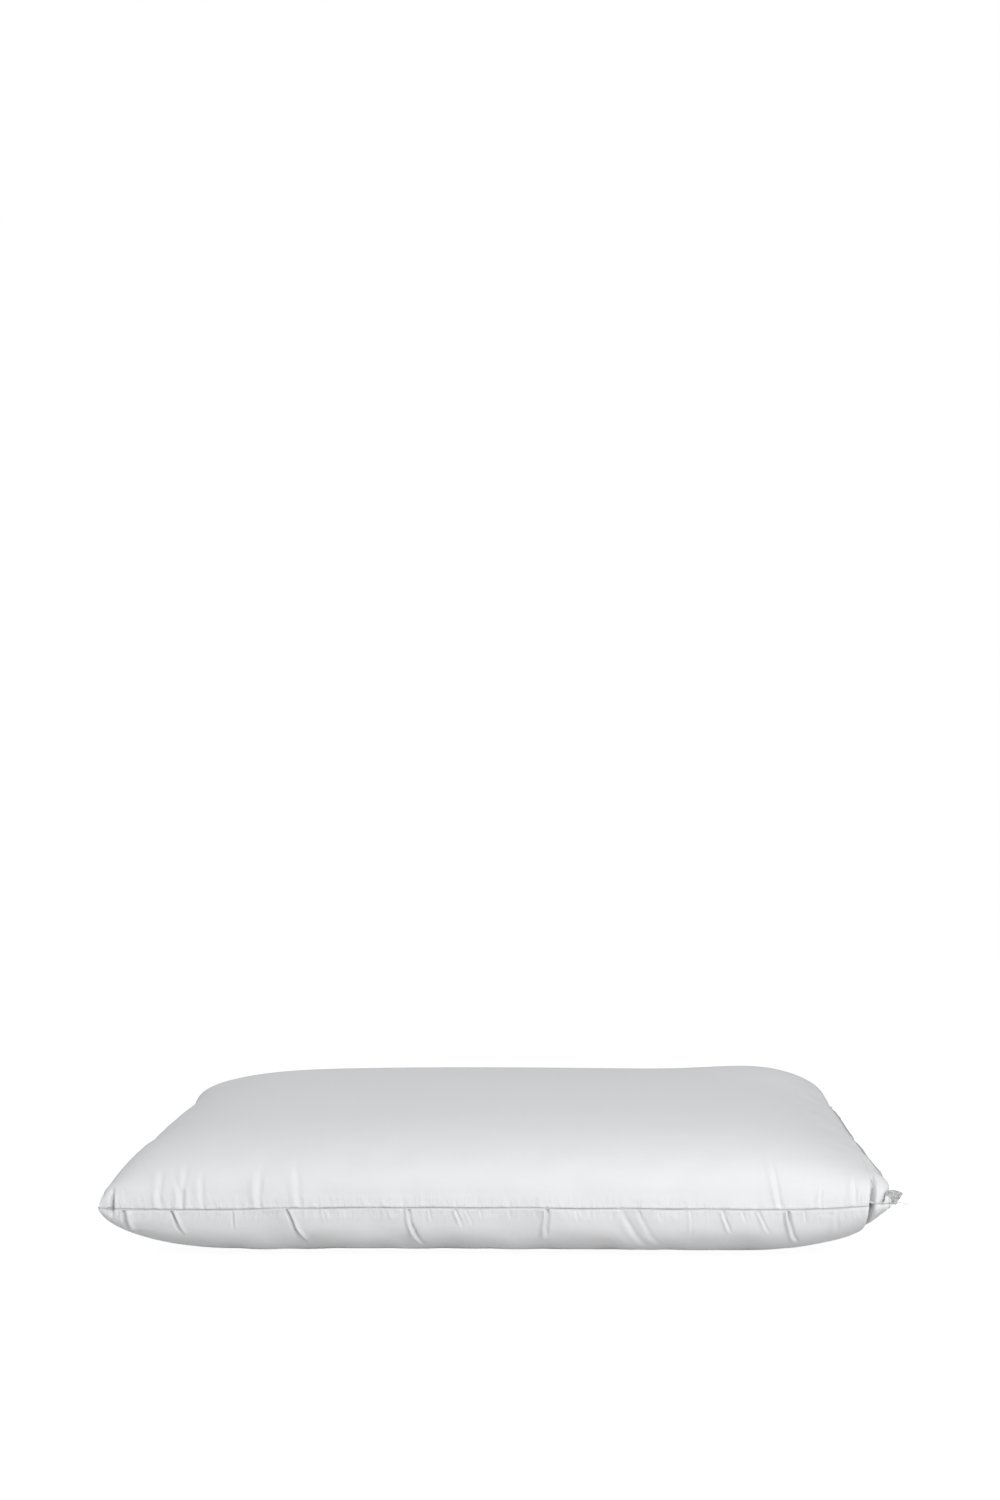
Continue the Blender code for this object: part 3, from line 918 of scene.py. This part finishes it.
def thread_piece(name, node, path, beside):
    """A round thread along a path, as rings that stand square to it and to a direction beside
    it, with both ends closed and its length and turn as its map."""
    onward = np.gradient(path, axis=0)
    onward /= np.linalg.norm(onward, axis=1, keepdims=True)
    first = np.cross(onward, beside)
    first /= np.linalg.norm(first, axis=1, keepdims=True)
    second = np.cross(onward, first)
    turn = np.arange(THREAD_SIDES) / THREAD_SIDES * 2 * np.pi
    ring = np.cos(turn)[:, None] * first[:, None] + np.sin(turn)[:, None] * second[:, None]
    points = (path[:, None] + THREAD_RADIUS * ring).reshape(-1, 3)
    index = np.arange(len(points)).reshape(-1, THREAD_SIDES)
    closed = np.concatenate([index, index[:, :1]], axis=1)
    quads = grid_quads(closed, True)
    mesh = bpy.data.meshes.new(name)
    caps = [index[0].tolist(), index[-1, ::-1].tolist()]
    mesh.from_pydata(points.tolist(), [], quads[:, ::-1].tolist() + caps)
    arc = np.concatenate([[0], np.cumsum(np.linalg.norm(np.diff(path, axis=0), axis=1))])
    share_round = np.arange(THREAD_SIDES + 1) / THREAD_SIDES
    along, around = np.meshgrid(arc, share_round, indexing="ij")
    flat = np.stack([along, around], axis=-1).reshape(-1, 2)
    number = np.arange(flat.shape[0]).reshape(along.shape)
    layer = mesh.uv_layers.new(name="thread")
    on_caps = np.zeros((2 * THREAD_SIDES, 2))
    mapped = np.concatenate([flat[grid_quads(number, False).ravel()], on_caps])
    layer.data.foreach_set("uv", mapped.ravel())
    mesh.shade_smooth()
    piece = bpy.data.objects.new(name, mesh)
    bpy.context.scene.collection.objects.link(piece)
    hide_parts(node)
    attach(piece, "root")
    return piece


threads = []
for side, (seam, faces) in SIDES.items():
    for name, over, face in (("needle", 1, faces[0]), ("bobbin", -1, faces[1])):
        line, stitch, inward = paced(face, 8)
        dip = np.exp(-(((stitch % 1 - 0.5) / DIP_WIDTH) ** 2))[:, None]
        if side == "closing":
            lean = np.array(EDGE_LEAN) * (1, 1, over)
            line = line + lean * (STITCH_RISE - EDGE_DIP * dip)
        else:
            line = line + inward * (2 * TURN_RADIUS + STITCH_APART * over)
            line[:, 2:] += over * STITCH_RISE * (1 - dip)
        if side == "closing" and name == "needle":
            line = np.concatenate([top_form[0, -1] + np.array(THREAD_TAIL), line[3:]])
        threads.append(thread_piece(f"{side}_{name}_stitches", f"{side}_seam_{name}_thread",
                                    line, (0.0, 0.02, 1.0)))
    line, stitch, inward = paced(seam, 12)
    phase = 2 * np.pi * stitch[:, None]
    outside = side == "closing"
    loop, loop_in = (OUTER_LOOP, OUTER_LOOP_IN) if outside else (RAW_LOOP, RAW_LOOP_IN)
    loops = line + inward * (loop_in + loop[0] * np.cos(phase))
    loops[:, 2:] += loop[1] * np.sin(phase)
    threads.append(thread_piece(f"{side}_oversewing", f"{side}_seam_overlock_thread", loops,
                                np.gradient(line, axis=0)))

spun, make, shader = new_material("spun_thread")
thread_map = make("ShaderNodeUVMap", uv_map="thread")
lie = make("ShaderNodeSeparateXYZ", {0: thread_map.outputs[0]})
ply = reckon(make, "MULTIPLY_ADD", lie.outputs["X"], TWISTS_PER_METRE, lie.outputs["Y"])
twist = reckon(make, "SINE", reckon(make, "MULTIPLY", ply, 2 * math.pi))
fuzz = make("ShaderNodeTexNoise", {"Vector": make("ShaderNodeTexCoord").outputs["Object"],
                                   "Scale": 9000.0, "Detail": 2.0})
relief = reckon(make, "MULTIPLY_ADD", twist, 0.3, fuzz.outputs["Fac"])
# Colour: painted shade in the twist's grooves and a painted grey on its crowns, with the tone
# varying at random by the fuzz.
finish_surface(make, shader, relief, THREAD_GROOVE_PAINTED_SHADE, THREAD_PAINTED_GREY, relief, distance=0.00008)
shader.inputs["Roughness"].default_value = 0.6
for piece in threads:
    piece.data.materials.append(spun)

# ---------------------------------------------------------------- care label
# A blank strip of woven polyester satin, folded in half with its ends caught in the closing
# seam beside the front corner. It twists as it leaves the seam, and its free end curls down.

LABEL_WIDTH = 0.012
LABEL_CAUGHT = 0.006
LABEL_OUT = 0.0095
LABEL_FOLD = 0.0004
# The grid row of the seam that it leaves from, and how far from there its root is set.
LABEL_ROW = 7
LABEL_ROOT = (-0.0030, -0.005, 0.0058)
# Its turns: about its own length, and of its slope from caught to free to its tip. The first
# two start a little before the seam, and each takes a length of its own.
LABEL_TWIST = math.radians(72)
CAUGHT_SLOPE = math.radians(38)
FREE_SLOPE = math.radians(8)
CURL_DOWN = math.radians(36)
TURNS_FROM = -0.0045
TWIST_LENGTH = 0.0055
SLOPE_LENGTH = 0.006
LABEL_TURN_FORWARD = 0.12
RUFFLE = 0.0005
RUFFLE_RATE = 900
# The label's two greys are painted shade: the white satin's face is greyed because it lies in
# shade, and is darker still in patches.
SATIN_PAINTED_DEEP_SHADE = (0.34, 0.34, 0.34, 1)
SATIN_PAINTED_GREY = (0.78, 0.78, 0.78, 1)


def ribbon_path():
    """Runs and offsets along the folded strip: out on one side of its middle, round the fold and
    back on the other."""
    out = np.linspace(-LABEL_CAUGHT, LABEL_OUT, 34)
    bend = np.linspace(np.pi / 2, -np.pi / 2, 7)[1:-1]
    run = np.concatenate([out, LABEL_OUT + LABEL_FOLD * np.cos(bend), out[::-1]])
    off = np.concatenate([0 * out + 1, np.sin(bend), 0 * out - 1]) * LABEL_FOLD
    return run, off


def eased(run, length):
    """A rise from 0 to 1 over a length, by three times the square less twice the cube of the
    share of the way."""
    share = np.clip((run - TURNS_FROM) / length, 0, 1)
    return share**2 * (3 - 2 * share)


# The strip's middle line is the sum of its steps, each along the heading that its slope gives,
# and its width turns about that heading by the twist.
run, off = ribbon_path()
twist = LABEL_TWIST * eased(run, TWIST_LENGTH)
shown = np.clip(run / LABEL_OUT, 0, 1)
slope = FREE_SLOPE - CURL_DOWN * shown
slope = CAUGHT_SLOPE + (slope - CAUGHT_SLOPE) * eased(run, SLOPE_LENGTH)
heading = np.stack([np.cos(slope), -LABEL_TURN_FORWARD * shown, np.sin(slope)], axis=1)
heading /= np.linalg.norm(heading, axis=1, keepdims=True)
seam_way = np.array([0.0, 1.0, 0.0])
square = np.cross(heading, seam_way)
square /= np.linalg.norm(square, axis=1, keepdims=True)
wide = np.cos(twist)[:, None] * seam_way - np.sin(twist)[:, None] * square
face = np.cross(heading, wide)
half = len(run) // 2
steps = np.diff(run[: half + 1], prepend=run[0])[:, None] * heading[: half + 1]
caught_way = np.array([math.cos(CAUGHT_SLOPE), 0, math.sin(CAUGHT_SLOPE)])
caught_end = top_form[LABEL_ROW, -1] + np.array(LABEL_ROOT) - LABEL_CAUGHT * caught_way
middle = caught_end + np.cumsum(steps, axis=0)
middle = np.concatenate([middle, middle[: len(run) - half - 1][::-1]])
strip = np.linspace(-0.5, 0.5, 13) * LABEL_WIDTH
ruffle = RUFFLE * np.sin(strip * RUFFLE_RATE)[None, :] * shown[:, None]
label_grid = middle[:, None] + wide[:, None] * strip[None, :, None]
label_grid = label_grid + face[:, None] * (off[:, None] + ruffle)[..., None]
label_mesh = bpy.data.meshes.new("sewn_in_label")
label_index = np.arange(label_grid[..., 0].size).reshape(label_grid.shape[:2])
label_quads = grid_quads(label_index, False)
label_mesh.from_pydata(label_grid.reshape(-1, 3).tolist(), [], label_quads.tolist())
length_along = np.concatenate([[0], np.cumsum(np.hypot(np.diff(run), np.diff(off)))])
label_flat = np.stack(np.meshgrid(strip, length_along), axis=-1).reshape(-1, 2)
layer = label_mesh.uv_layers.new(name="cloth")
layer.data.foreach_set("uv", label_flat[label_quads.ravel()].ravel())
label_mesh.shade_smooth()
sewn_in_label = bpy.data.objects.new("sewn_in_label", label_mesh)
bpy.context.scene.collection.objects.link(sewn_in_label)
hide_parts("care_label")
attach(sewn_in_label, "root")

satin, make, shader = new_material("woven_satin")
woven = make("ShaderNodeGroup", node_tree=weave)
cloth_map = make("ShaderNodeUVMap", uv_map="cloth")
satin.node_tree.links.new(cloth_map.outputs[0], woven.inputs["Vector"])
woven.inputs["Threads per Metre"].default_value = 3000
woven.inputs["Weave Depth"].default_value = 0.00005
woven.inputs["Slub Depth"].default_value = 0.0004
# Noise picks where the painted shade on the label is deeper, in patches; this is painted shadow,
# not wear.
painted_shade_noise = make("ShaderNodeTexNoise", {"Vector": cloth_map.outputs[0], "Scale": 420.0,
                                  "Detail": 4.0, "Roughness": 0.7}, noise_dimensions="2D")
painted_shade_patches = make("ShaderNodeMapRange", {"Value": painted_shade_noise.outputs["Fac"], "From Min": 0.35,
                                     "From Max": 0.65})
finish_surface(make, shader, painted_shade_patches.outputs[0], SATIN_PAINTED_DEEP_SHADE, SATIN_PAINTED_GREY, woven.outputs["Height"])
shader.inputs["Roughness"].default_value = 0.42
shader.inputs["Sheen Weight"].default_value = 0.2
label_mesh.materials.append(satin)
